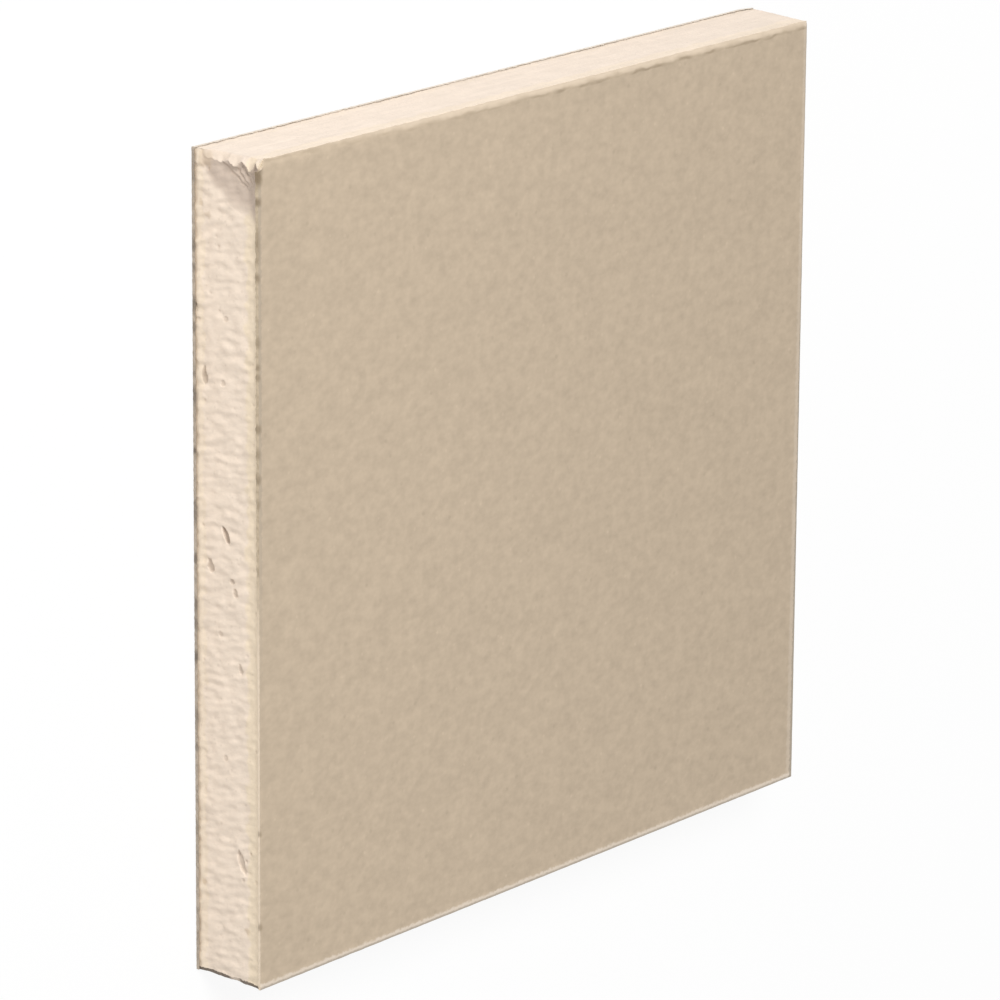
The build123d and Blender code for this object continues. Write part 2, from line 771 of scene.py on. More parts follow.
@dataclass(frozen=True)
class GypsumFinish:
    """Cream set gypsum: sawn, full of fine bubbles, denser and yellower by the liners, with painted
    shade in its hollows and under the broken lip, and a painted shadow along one arris.
    """

    name: str = "sawn_gypsum"
    colour: Colour = (0.792, 0.671, 0.555)
    dense_colour: Colour = (0.80, 0.672, 0.512)
    trim_colour: Colour = (0.772, 0.665, 0.568)
    # colour of the painted shade in bubbles, voids, cracks and pits
    hollow_shade_colour: Colour = (0.40, 0.31, 0.235)
    # colour of the painted shade under the broken lip
    shaded_fracture_colour: Colour = (0.55, 0.45, 0.37)
    stain_colour: Colour = (0.54, 0.41, 0.275)
    # colour of the painted shade at the paper rims and of the painted shadow along the core's lower
    # sawn arris
    painted_shade_colour: Colour = (0.13, 0.105, 0.085)
    dense_by_face: float = 0.0022
    face_border: Pair = (-0.0004, 0.0003)  # where that layer begins and is full, about its edge
    dense_by_back: float = 0.0012
    back_border: float = 0.0004
    back_share: float = 0.5  # how dense that layer is next to the one by the face
    dense_stray: float = 0.0005  # how far both layers wander
    dense_stray_length: float = 0.0025
    dense_on_trim: float = 0.4  # how much of them the trimmed edges show
    # the painted shadow along the lower arris of the sawn end
    shadow_width: float = 0.00048
    shadow_border: float = 0.00006
    shadow_stray: float = 0.0001
    shadow_stray_length: float = 0.0008
    shadow_strength: Pair = (0.4, 0.95)  # where it is thin, and elsewhere
    shadow_gap: float = 0.0072  # height where it is thin
    shadow_thins: Pair = (0.0003, 0.0013)  # from that height to where it is still thin and is full
    cloud: float = 0.004
    cloud_tint: Pair = (0.975, 1.02)
    ripple: float = 0.0012
    end_stretch: Triple = (1.0, 1.0, 0.4)  # draws the ripples of the sawn ends out along Z
    end_tint: Pair = (-0.04, 0.03)
    edge_stretch: Triple = (0.12, 1.0, 1.0)  # draws those of the trimmed edges out along X
    edge_tint: Pair = (-0.03, 0.025)
    bubble: float = 0.0014
    bubble_radius: Pair = (0.20, 0.08)  # where a bubble ends and is full, as shares of a cell
    # how much painted shade a bubble gets
    bubble_shade: float = 0.14
    speck: float = 0.0005
    speck_tint: Pair = (0.985, 1.015)
    roughness: float = 0.95
    relief: float = 0.00006

    def material(self, low: Vector, high: Vector) -> bpy.types.Material:
        """Builds the material.

        Args:
            low: The core's lowest corner.
            high: Its highest corner.

        Returns:
            The material.
        """
        bench = SurfaceBench(self.name)
        colour = self.layers(bench, low, high)
        clouds = bench.varied(bench.noise(bench.place, self.cloud, 3), self.cloud_tint)
        specks = bench.varied(bench.noise(bench.place, self.speck, 2, 0.6), self.speck_tint)
        colour = bench.shade(colour, bench.product(clouds, self.ripples(bench), specks))
        # painted shade in the fine bubbles
        bubbles = bench.cells(bench.place, self.bubble)
        bubbles = bench.span(bubbles, *self.bubble_radius, (0, self.bubble_shade))
        colour = bench.mix(bubbles, colour, self.hollow_shade_colour)
        # painted shadow along the lower arris of the sawn end
        colour = bench.mix(self.painted_shade(bench, low), colour, self.painted_shade_colour)
        # painted shade under the broken lip, and faintly over it
        colour = bench.mix(bench.attribute("shaded_fracture"), colour, self.shaded_fracture_colour)
        colour = bench.mix(bench.attribute("stain"), colour, self.stain_colour)
        # painted shade in the voids, cracks and pits
        colour = bench.mix(bench.attribute("hollow_shade"), colour, self.hollow_shade_colour)
        fine = bench.sum("SUBTRACT", bench.noise(bench.place, self.speck, 3, 0.65), bubbles)
        bench.surface(colour, self.roughness, fine, self.relief)
        return bench.material

    def ripples(self, bench: SurfaceBench) -> Input:
        """Lighter and darker ripples, across the sawn ends and along the trimmed edges.

        Args:
            bench: Where the nodes go.

        Returns:
            A factor around 1.
        """
        across = bench.noise(bench.stretched(bench.place, self.end_stretch), self.ripple, 2, 0.6)
        along = bench.noise(bench.stretched(bench.place, self.edge_stretch), self.ripple, 2, 0.6)
        sawn = bench.span(bench.sum("ABSOLUTE", bench.out_x), *FACING)
        ends = bench.product(bench.varied(across, self.end_tint), sawn)
        edges = bench.product(bench.varied(along, self.edge_tint), self.trimmed(bench))
        return bench.sum("ADD", bench.sum("ADD", ends, edges), 1.0)

    def trimmed(self, bench: SurfaceBench) -> Input:
        """A share that is 1 on the two trimmed edges."""
        return bench.span(bench.sum("ABSOLUTE", bench.out_y), *EDGE_FACING)

    def layers(self, bench: SurfaceBench, low: Vector, high: Vector) -> Input:
        """The open middle of the core and the denser layers by the liners.

        Args:
            bench: Where the nodes go.
            low: The core's lowest corner.
            high: Its highest corner.

        Returns:
            The colour.
        """
        stray = bench.wander(bench.noise(bench.place, self.dense_stray_length), self.dense_stray)
        height = bench.sum("ADD", bench.z, stray)
        face_edge = high.z - self.dense_by_face
        back_edge = low.z + self.dense_by_back
        by_face = bench.span(height, *(face_edge + border for border in self.face_border))
        by_back = bench.span(height, back_edge + self.back_border, back_edge, (0, self.back_share))
        trimmed = self.trimmed(bench)
        shown = bench.span(trimmed, 0, 1, (1.0, self.dense_on_trim))
        dense = bench.product(bench.sum("MAXIMUM", by_face, by_back), shown)
        colour = bench.mix(trimmed, self.colour, self.trim_colour)
        return bench.mix(dense, colour, self.dense_colour)

    def painted_shade(self, bench: SurfaceBench, low: Vector) -> Input:
        """The painted shadow along the lower arris of the sawn end.

        Args:
            bench: Where the nodes go.
            low: The core's lowest corner.

        Returns:
            A share from 0 to 1.
        """
        sawn = bench.span(bench.product(bench.out_x, -1.0), *FACING)
        stray = bench.wander(bench.noise(bench.place, self.shadow_stray_length), self.shadow_stray)
        edge = bench.sum("ADD", bench.sum("SUBTRACT", bench.y, low.y), stray)
        border = (self.shadow_width + self.shadow_border, self.shadow_width - self.shadow_border)
        away = bench.sum("ABSOLUTE", bench.sum("SUBTRACT", bench.z, self.shadow_gap))
        patchy = bench.span(away, *self.shadow_thins, self.shadow_strength)
        return bench.product(sawn, bench.span(edge, *border), patchy)


@dataclass(frozen=True)
class SawRipples:
    """Short waves that the saw leaves across the thickness, with lumps and pits among them."""

    bottom: float
    top: float
    seed: float
    ripple: float = 0.00085
    ripple_length: float = 0.0024
    ripple_depth: float = 0.00042
    slant: float = 0.2  # how far the ripples climb along the end for each metre up
    drift: float = 0.35  # how far they stray from that, in ripples
    drift_up: float = 0.0016
    drift_along: float = 0.004
    lump: float = 0.0014
    lump_depth: float = 0.00026
    pit_spacing: float = 0.0017
    pit_radius: float = 0.00042
    pit_depth: float = 0.00020
    least_pit: float = 0.1  # size of the smallest pits that show, next to the largest
    dense: float = 0.0014  # thickness of the dense layers by the liners
    dense_share: float = 0.78  # how open they are
    flush_share: float = 0.25  # how much of the relief is left where the core meets the face liner

    def open_share(self, up: float) -> float:
        """How open the core is.

        Args:
            up: Height.

        Returns:
            1 in the middle, less by the liners.
        """
        by_face = smooth_step(self.top - 0.6 * self.dense, self.top - 1.3 * self.dense, up)
        by_back = smooth_step(self.bottom + 0.3 * self.dense, self.bottom + 0.9 * self.dense, up)
        return self.dense_share + (1 - self.dense_share) * by_face * by_back

    def rough_share(self, up: float) -> float:
        """How much of the relief a height has: least where the core meets the face liner."""
        away = smooth_step(self.top, self.top - 0.6 * self.dense, up)
        return self.flush_share + (1 - self.flush_share) * away

    def pit(self, along: float, up: float) -> float:
        """How far a place lies inside a pit.

        Args:
            along: Place along the end.
            up: Height.

        Returns:
            0 outside, up to 1 at the middle of the largest pits.
        """
        spot = Vector((along / self.pit_spacing, up / self.pit_spacing, self.seed))
        distances, points = noise.voronoi(spot)
        size = noise.cell(points[0] * 13)
        if size < self.least_pit:
            return 0.0
        radius = self.pit_radius / self.pit_spacing * (0.45 + 0.55 * size)
        return size * self.open_share(up) * smooth_step(radius, 0.3 * radius, distances[0])

    def depth(self, along: float, up: float) -> float:
        """How far the surface lies behind the plane of the cut.

        Args:
            along: Place along the end.
            up: Height.

        Returns:
            A depth in metres.
        """
        drift = self.drift * grain(up / self.drift_up, along / self.drift_along, self.seed + 5)
        run = (along - self.slant * up) / self.ripple
        wave = grain(run + drift, up / self.ripple_length, self.seed)
        lumps = grain(along / self.lump, up / self.lump, self.seed + 13)
        relief = self.ripple_depth * (0.5 + 0.45 * wave) + self.lump_depth * (0.5 + 0.5 * lumps)
        return self.rough_share(up) * self.open_share(up) * relief


@dataclass(frozen=True)
class TrimStreaks:
    """Faint streaks along a trimmed edge."""

    seed: float
    streak: float = 0.00045
    streak_length: float = 0.012
    streak_depth: float = 0.00013
    swell: float = 0.004
    swell_length: float = 0.009

    def depth(self, along: float, up: float) -> float:
        """How far the surface lies behind the plane of the cut.

        Args:
            along: Place along the edge.
            up: Height.

        Returns:
            A depth in metres.
        """
        streak = grain(along / self.streak_length, up / self.streak, self.seed)
        swell = grain(along / self.swell_length, up / self.swell, self.seed + 3)
        return self.streak_depth * (0.5 + 0.35 * streak + 0.3 * swell)


@dataclass(frozen=True)
class OpenVoid:
    """An air void that the saw opened: a leaning slit, fuller towards its lower end."""

    along: float
    up: float
    length: float
    lean: float  # degrees from the run of the end, towards the face liner
    width: float
    floor: float  # how deep it is
    inner_shade: float  # how much painted shade its inside gets
    belly: float = 0.2  # how much fuller its lower end is
    bend: float = 0.0  # how far its middle lies off the line between its ends
    wobble: float = 0.22  # how uneven its outline is
    wobble_length: float = 0.0004

    def inside(self, along: float, up: float) -> float:
        """How far a place lies inside the slit.

        Args:
            along: Place along the end.
            up: Height.

        Returns:
            0 outside, 1 well inside.
        """
        across, over = self.along - along, up - self.up
        if math.hypot(across, over) > self.length + self.width:
            return 0.0
        turn = math.radians(self.lean)
        run = (across * math.cos(turn) + over * math.sin(turn)) / (self.length / 2)
        rise = over * math.cos(turn) - across * math.sin(turn) + self.bend * (1 - run * run)
        half_width = self.width / 2 * max(0.2, 1 + self.belly * run)
        uneven = 1 + self.wobble * grain(run * 2.2, rise / self.wobble_length, self.along * 1000)
        return smooth_step(1.2, 0.6, math.hypot(run, rise / half_width) * uneven)


@dataclass(frozen=True)
class Crack:
    """A crack in the broken corner, with a light ridge along its upper side."""

    start: Pair  # place along the end, and height
    end: Pair
    width: float = 0.00030
    floor: float = 0.00007  # how deep it is
    # how much painted shade the crack gets
    inner_shade: float = 0.30
    wander: float = 0.00022  # how far it strays from a straight line
    ridge: float = 0.00011  # height of that ridge
    ridge_width: float = 0.00045

    def side(self, along: float, up: float) -> float:
        """How far a place lies from the crack, negative on its upper side.

        Args:
            along: Place along the end.
            up: Height.

        Returns:
            A distance in metres.
        """
        line = Vector(self.end) - Vector(self.start)
        spot = Vector((along, up)) - Vector(self.start)
        share = spot.dot(line) / line.length_squared
        stray = self.wander * grain(share * 5, 0.3, self.start[0] * 1000)
        past = max(0.0, -share, share - 1) * line.length
        across = (spot.y * line.x - spot.x * line.y) / line.length + stray
        return math.copysign(math.hypot(across, past), across)

    def inside(self, along: float, up: float) -> float:
        """How far a place lies inside the crack: 0 outside, 1 on its line."""
        return smooth_step(self.width, 0.3 * self.width, abs(self.side(along, up)))

    def raised(self, along: float, up: float) -> float:
        """How far a place is lifted by the ridge, in metres."""
        away = -self.side(along, up) - self.width
        return self.ridge * smooth_step(self.ridge_width, 0, abs(away))


@dataclass(frozen=True)
class Stain:
    """A brown patch on the sawn end."""

    along: float
    up: float
    radius: float
    strength: float

    def share(self, along: float, up: float) -> float:
        """How brown a place is.

        Args:
            along: Place along the end.
            up: Height.

        Returns:
            A share from 0 to 1.
        """
        away = math.hypot(along - self.along, up - self.up) / self.radius
        if away > 2:
            return 0.0
        ragged = 0.5 * grain(along / self.radius * 1.7, up / self.radius * 1.7, self.along * 1000)
        return self.strength * smooth_step(1.15, 0.4, away + ragged)


@dataclass(frozen=True)
class LipTooth:
    """A place where the broken lip hangs lower, or is gone."""

    up: float
    reach: float  # how much lower, negative for a notch
    spread: float

    def drop(self, up: float) -> float:
        """How much lower the lip hangs at a height."""
        return self.reach * math.exp(-(((up - self.up) / self.spread) ** 2))


@dataclass(frozen=True)
class BrokenCorner:
    """The corner that broke in cutting: a bright jagged lip over a shallow recess."""

    edge: float  # place of the trimmed edge along the sawn end
    bottom: float
    top: float
    height: float = 0.0095
    recess: float = 0.00055
    mouth: float = 0.0008
    lip_drop: float = 0.0012
    least_lip: float = 0.0001
    lip_setback: float = 0.00008
    arris_setback: float = 0.0010
    squeeze_reach: float = 0.0060  # how far along the trimmed edge gives way to that setback
    start: float = 0.0010  # height over the back liner where the break begins
    growth: float = 0.42  # power with which it grows from there
    jag: float = 0.00045  # length of the fine teeth
    flake: float = 0.0014
    flake_depth: float = 0.00022
    fade_stray: float = 0.0007  # how far the lower limit of the shaded fracture wanders
    fade_stray_length: float = 0.002
    lip_border: Pair = (-0.0001, 0.00015)  # where the painted shade begins and is full, below the lip
    streak: float = 0.0005  # width of the streaks of painted shade down the lip
    streak_length: float = 0.0016
    teeth: tuple[LipTooth, ...] = (
        LipTooth(0.0049, 0.00022, 0.0005),
        LipTooth(0.0063, -0.00020, 0.0004),
        LipTooth(0.0078, 0.00035, 0.0005),
        LipTooth(0.0089, -0.00045, 0.0005),
        LipTooth(0.0104, 0.00075, 0.0006),
        LipTooth(0.0115, -0.00080, 0.0004),
    )

    def share(self, up: float) -> float:
        """Size of the break at a height: 0 by the back liner, 1 at the face liner."""
        rise = (up - self.bottom - self.start) / (self.top - self.bottom - self.start)
        return max(0.0, rise) ** self.growth

    def lip(self, up: float) -> float:
        """How far the lip hangs below the trimmed edge.

        Args:
            up: Height.

        Returns:
            A distance in metres.
        """
        jag = grain(up / self.jag, 0.4, 2.2) + 0.5 * grain(up / (0.4 * self.jag), 1.7, 4.1)
        whole = self.lip_drop * (1 + 0.14 * jag) + sum(tooth.drop(up) for tooth in self.teeth)
        return max(self.least_lip, whole * smooth_step(0.0, 0.45, self.share(up)))

    def depth(self, along: float, up: float) -> float:
        """How far the surface lies behind the plane of the sawn end.

        Args:
            along: Place along the end.
            up: Height.

        Returns:
            A depth in metres.
        """
        share = self.share(up)
        below = self.edge - along
        foot = self.height * share
        if share <= 0 or below > foot:
            return 0.0
        setback = self.arris_setback * smooth_step(0.2, 0.7, share)
        recess = self.recess * smooth_step(0.35, 0.95, share)
        lip = min(self.lip(up), 0.5 * foot)
        deepest = min(lip + self.mouth, 0.8 * foot)
        plain = np.interp(below, (0.0, lip, deepest, foot), (setback, self.lip_setback, recess, 0.0))
        flakes = 0.5 + 0.5 * grain(along / self.flake, up / self.flake, 6.4)
        return float(plain) + self.flake_depth * flakes * self.shaded_fracture(along, up)

    def shaded_fracture(self, along: float, up: float) -> float:
        """How much painted shade a place gets on the fracture under the lip, and faintly on the lip
        itself.

        Args:
            along: Place along the end.
            up: Height.

        Returns:
            A share from 0 to 1.
        """
        share = self.share(up)
        below = self.edge - along
        if share <= 0 or below > 1.2 * self.height:
            return 0.0
        foot = self.height * share
        size = self.fade_stray_length
        stray = self.fade_stray * grain(along / size, up / size, 8.8)
        fades = smooth_step(1.05 * foot, 0.72 * foot, below + stray)
        lip = self.lip(up)
        # a faint painted shade over the lip, in streaks
        lip_shade = 0.2 + 0.4 * max(0.0, grain(up / self.streak, below / self.streak_length, 3.3))
        starts = max(lip_shade, smooth_step(*self.lip_border, below - lip))
        return fades * starts * smooth_step(0.1, 0.35, share)

    def squeeze(self, run: float, up: float) -> float:
        """How far the trimmed edge gives way beside the broken arris.

        Args:
            run: Place along the trimmed edge, from the sawn end.
            up: Height.

        Returns:
            A shift in metres, away from the sawn end.
        """
        return self.depth(self.edge, up) * max(0.0, 1 - run / self.squeeze_reach)


@dataclass(frozen=True)
class FarCut:
    """The far end: sawn a little out of square, and knocked round under its back arris."""

    end: float  # place of the square end
    edge: float  # place of the trimmed edge
    top: float  # height of the board
    back_reach: float = 0.0014  # how far the back stands out, by the trimmed edge
    face_turn: float = 0.0004  # how far the face falls short there, and stands out at the near edge
    radius: float = 0.0022  # of the knocked arris
    run: float = 0.020  # from the trimmed edge to where that rounding ends

    def lean(self, places: np.ndarray) -> np.ndarray:
        """How far the end stands out.

        Args:
            places: The vertices' places.

        Returns:
            One distance for each place.
        """
        up = places[:, 2] / self.top
        size = (places[:, 1] + self.edge) / (2 * self.edge)
        return self.back_reach * size * (1 - up) + self.face_turn * (1 - 2 * size) * up

    def knocked(self, places: np.ndarray) -> np.ndarray:
        """How far each place is knocked in.

        Args:
            places: The vertices' places.

        Returns:
            One row of moves for each place.
        """
        moves = np.zeros_like(places)
        from_end, up = self.end - places[:, 0], places[:, 2]
        for index in np.flatnonzero(np.maximum(from_end, up) < self.radius):
            away = (from_end[index], up[index])
            near, far = min(away), max(away)
            size = smooth_step(self.run, 0.3 * self.run, self.edge - places[index, 1])
            radius = self.radius * size - near
            if far - near >= radius:
                continue
            turn = (1 - (far - near) / radius) * math.pi / 4
            longer = near + radius * (1 - math.sin(turn)) - far
            shorter = radius * (1 - math.cos(turn))
            along, upward = (longer, shorter) if away[0] >= away[1] else (shorter, longer)
            moves[index] = (-along, 0, upward)
        return moves

    def shift(self, places: np.ndarray, reach: float) -> np.ndarray:
        """How far each place lies from the same place on a square, sharp end.

        Args:
            places: The vertices' places.
            reach: How far in from the end the vertices follow it.

        Returns:
            One row of moves for each place.
        """
        moves = self.knocked(places)
        follows = np.clip(1 - (self.end - places[:, 0]) / reach, 0, 1)
        moves[:, 0] += follows * self.lean(places)
        return moves


@dataclass
class GypsumCore:
    """The cast core with its four cut sides."""

    name: str = "sawn_core"
    node: str = "gypsum_core"
    slot: str = "gypsum"
    rows: int = 57
    corner_reach: float = 0.0105  # from the trimmed edge to where the sawn end is no longer refined
    void_margin: float = 0.0005
    # how much painted shade the pits get
    pit_shade: float = 0.35
    stages: dict[Side, tuple[int, ...]] = field(
        default_factory=lambda: {
            Side.SAWN_END: (25, 25),
            Side.FAR_END: (14, 16),
            Side.TRIMMED_EDGE: (15, 16),
            Side.NEAR_EDGE: (10, 14),
        }
    )

    def __post_init__(self) -> None:
        """Takes the core's box from the frame and sets out what marks its surface."""
        self.low, self.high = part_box(self.node)
        self.corner = BrokenCorner(self.high.y, self.low.z, self.high.z)
        self.far_cut = FarCut(self.high.x, self.high.y, CAD_BOX[1][2])
        self.voids = (
            OpenVoid(0.0280, 0.00186, 0.0026, 8, width=0.0010, floor=0.0002, inner_shade=0.6),
            OpenVoid(0.0057, 0.00585, 0.0026, 29, width=0.0010, floor=0.0005, inner_shade=0.66),
            OpenVoid(0.0007, 0.00285, 0.0021, 17, width=0.0012, floor=0.0003, inner_shade=0.52),
            OpenVoid(-0.0008, 0.00695, 0.0009, 34, width=0.0009, floor=0.0002, inner_shade=0.42, belly=0),
            OpenVoid(-0.0024, 0.00754, 0.0013, 19, width=0.0010, floor=0.0002, inner_shade=0.44),
            OpenVoid(-0.0133, 0.00848, 0.0016, 12, width=0.0008, floor=0.0002, inner_shade=0.32),
            OpenVoid(-0.0417, 0.00870, 0.0037, 20, width=0.0011, floor=0.0003, inner_shade=0.34, bend=0.00022),
            OpenVoid(0.0367, 0.00596, 0.0009, 20, width=0.0009, floor=0.00012, inner_shade=0.34, belly=0),
            OpenVoid(0.0275, 0.00545, 0.0009, 20, width=0.0009, floor=0.00012, inner_shade=0.3, belly=0),
            OpenVoid(-0.0089, 0.00476, 0.0009, 20, width=0.0009, floor=0.00012, inner_shade=0.28, belly=0),
            OpenVoid(-0.0270, 0.00556, 0.0009, 20, width=0.0009, floor=0.00012, inner_shade=0.3),
        )
        self.cracks = (
            Crack((0.0585, 0.0055), (0.0558, 0.0096)),
            Crack((0.0583, 0.0078), (0.0561, 0.0099)),
            Crack((0.0581, 0.0094), (0.0565, 0.0106)),
        )
        self.stains = (
            Stain(0.0585, 0.0023, 0.0013, 0.4),
            Stain(0.0524, 0.0015, 0.0006, 0.45),
            Stain(0.0509, 0.0028, 0.0007, 0.35),
            Stain(-0.0465, 0.0014, 0.0006, 0.6),
            Stain(-0.0519, 0.0096, 0.0006, 0.5),
        )

    def build(self) -> Workpiece:
        """Models the core.

        Returns:
            The piece, with its relief and the attributes that its finish reads.
        """
        piece = Workpiece(self.name, self.low, self.high)
        for side, stages in self.stages.items():
            piece.split_rim(side_rim(side, self.high), stages)
        piece.raise_solid(self.high.z - self.low.z)
        piece.split_upright(self.rows)
        piece.split(Element.FACES, self.fine_places(piece.face_middles()), 1)
        self.roughen(piece)
        return piece

    def fine_places(self, middles: np.ndarray) -> np.ndarray:
        """Which faces of the sawn end carry the broken corner or a void.

        Args:
            middles: The faces' middles.

        Returns:
            One flag for each face.
        """
        fine = middles[:, 1] > self.high.y - self.corner_reach
        for void in self.voids:
            away = np.hypot(middles[:, 1] - void.along, middles[:, 2] - void.up)
            fine |= away < void.length / 2 + self.void_margin
        return fine & (np.abs(middles[:, 0] - self.low.x) < TINY)

    def on(self, places: np.ndarray, side: Side) -> np.ndarray:
        """The numbers of the vertices that lie on a side of the untouched box."""
        return np.flatnonzero(side_rim(side, self.high).inward(places) < TINY)

    def roughen(self, piece: Workpiece) -> None:
        """Presses the relief into the four sides and marks the painted shade in hollows and under the
        broken lip, and the stains.

        Args:
            piece: The plain box with its sides divided.
        """
        rest = piece.places()
        moves = self.far_cut.shift(rest, TINY)
        marks = {name: np.zeros(len(rest)) for name in ("hollow_shade", "shaded_fracture", "stain")}
        self.saw_ends(rest, moves, marks)
        self.trim_edges(rest, moves)
        piece.press(moves)
        for name, values in marks.items():
            piece.mark(name, values)

    def saw_ends(self, rest: np.ndarray, moves: np.ndarray, marks: dict[str, np.ndarray]) -> None:
        """Works out the relief and the marks of the two sawn ends.

        Args:
            rest: The vertices' places.
            moves: Their moves, which are added to.
            marks: Their marks, which are filled in.
        """
        saw = SawRipples(self.low.z, self.high.z, seed=1.7)
        for index in self.on(rest, Side.SAWN_END):
            spot = (rest[index, 1], rest[index, 2])
            openings = [(opening, opening.inside(*spot)) for opening in (*self.voids, *self.cracks)]
            depth = saw.depth(*spot) + saw.pit_depth * saw.pit(*spot) + self.corner.depth(*spot)
            depth += max(opening.floor * inside for opening, inside in openings)
            shaded_fracture = self.corner.shaded_fracture(*spot)
            depth -= shaded_fracture * max(crack.raised(*spot) for crack in self.cracks)
            moves[index, 0] += max(0.0, depth)
            # painted shade inside the voids, cracks and pits
            opening_shade = max(opening.inner_shade * smooth_step(0.05, 0.6, inside) for opening, inside in openings)
            marks["hollow_shade"][index] = max(opening_shade, self.pit_shade * saw.pit(*spot))
            # painted shade under the broken lip
            marks["shaded_fracture"][index] = shaded_fracture
            marks["stain"][index] = max(stain.share(*spot) for stain in self.stains)
        far_saw = SawRipples(self.low.z, self.high.z, seed=21.3)
        for index in self.on(rest, Side.FAR_END):
            spot = (rest[index, 1], rest[index, 2])
            moves[index, 0] -= far_saw.depth(*spot) + far_saw.pit_depth * far_saw.pit(*spot)
            marks["hollow_shade"][index] = self.pit_shade * far_saw.pit(*spot)

    def trim_edges(self, rest: np.ndarray, moves: np.ndarray) -> None:
        """Works out the relief of the two trimmed edges.

        Args:
            rest: The vertices' places.
            moves: Their moves, which are added to.
        """
        for side, seed in ((Side.TRIMMED_EDGE, 3.1), (Side.NEAR_EDGE, 14.9)):
            streaks = TrimStreaks(seed)
            for index in self.on(rest, side):
                moves[index, 1] -= side.value[1] * streaks.depth(rest[index, 0], rest[index, 2])
        for index in self.on(rest, Side.TRIMMED_EDGE):
            run = rest[index, 0] - self.low.x
            if run > TINY:
                moves[index, 0] += self.corner.squeeze(run, rest[index, 2])

    def dress(self, piece: Workpiece) -> None:
        """Gives the core its finish and its place in the frame."""
        piece.finish(GypsumFinish().material(self.low, self.high), self.slot, self.node)


@dataclass(frozen=True)
class RimForm:
    """How the cut left one rim of a paper sheet."""

    bead: float = 0.0  # height of the bead that stands up along the rim
    bead_place: float = 0.0  # from the cut in to the top of the bead
    bead_spread: float = 0.0002
    fall: float = 0.0  # how far the sheet is turned down at the cut
    fall_width: float = 0.0004
    lump: float = 0.002  # length of the lumps along the rim
    lumpiness: float = 0.4  # share of the bead that the lumps take away
    tear: float = 0.00005  # how far the outline wanders in and out
    tear_length: float = 0.0006
    tear_height: float = 0.0006
    smear: float = 0.0  # how far the paper is dragged over the core
    smear_length: float = 0.0011
    smear_grain: float = 0.0004
    grows: Pair = WHOLE_RIM  # places along the rim between which it gains strength
    least: float = 0.4  # its strength before that

    def strength(self, along: float) -> float:
        """How strong the cut's marks are at a place along the rim."""
        return self.least + (1 - self.least) * smooth_step(*self.grows, along)

    def rise(self, inward: float, along: float, seed: float) -> float:
        """How far the sheet stands up.

        Args:
            inward: Place in from the cut.
            along: Place along the rim.
            seed: Picks the pattern.

        Returns:
            A height in metres, negative where the sheet is turned down.
        """
        lumps = 0.5 + 0.6 * grain(along / self.lump, 0.2, seed)
        lumps += 0.3 * grain(along / (0.3 * self.lump), 0.7, seed)
        bead = self.bead * math.exp(-(((inward - self.bead_place) / self.bead_spread) ** 2))
        bead *= 1 - self.lumpiness * min(1.0, max(0.0, lumps))
        fall = self.fall * smooth_step(self.fall_width, 0, inward)
        return self.strength(along) * bead - fall

    def torn(self, along: float, up: float, seed: float) -> float:
        """How far the outline lies in from the rim's line.

        Args:
            along: Place along the rim.
            up: Height.
            seed: Picks the pattern.

        Returns:
            A distance in metres.
        """
        coarse = grain(along / self.tear_length, up / self.tear_height, seed)
        fine = grain(along / (0.35 * self.tear_length), up / (0.5 * self.tear_height), seed + 7)
        return self.tear * (coarse + 0.5 * fine)

    def dragged(self, along: float, seed: float) -> float:
        """How far the paper is dragged over the core at a place along the rim.

        Args:
            along: Place along the rim.
            seed: Picks the pattern.

        Returns:
            A distance in metres.
        """
        coarse = grain(along / self.smear_length, 0.1, seed)
        fine = grain(along / self.smear_grain, 0.6, seed)
        return self.smear * self.strength(along) * max(0.0, 0.6 + 0.5 * coarse + 0.35 * fine)


@dataclass(frozen=True)
class Knot:
    """A dark knot on a sheet's rim along the sawn end; by the torn corner it is painted shade in the
    gap under the torn paper.
    """

    along: float
    length: float
    strength: float
    width: float = 0.0004  # from the cut in to where it ends
    reach: Pair = (0.75, 1.1)  # of its soft border along and in, next to its length and width
    full: float = 0.3  # share of that reach where it is fully dark
    darkest: float = 0.8

    def share(self, along: np.ndarray, inward: np.ndarray) -> np.ndarray:
        """How much of the knot each place shows.

        Args:
            along: The places along the rim.
            inward: The places in from it.

        Returns:
            One share for each place.
        """
        aside = (along - self.along) / (self.reach[0] * self.length)
        away = np.hypot(aside, inward / (self.reach[1] * self.width))
        return self.darkest * self.strength * np.clip((1 - away) / (1 - self.full), 0, 1)


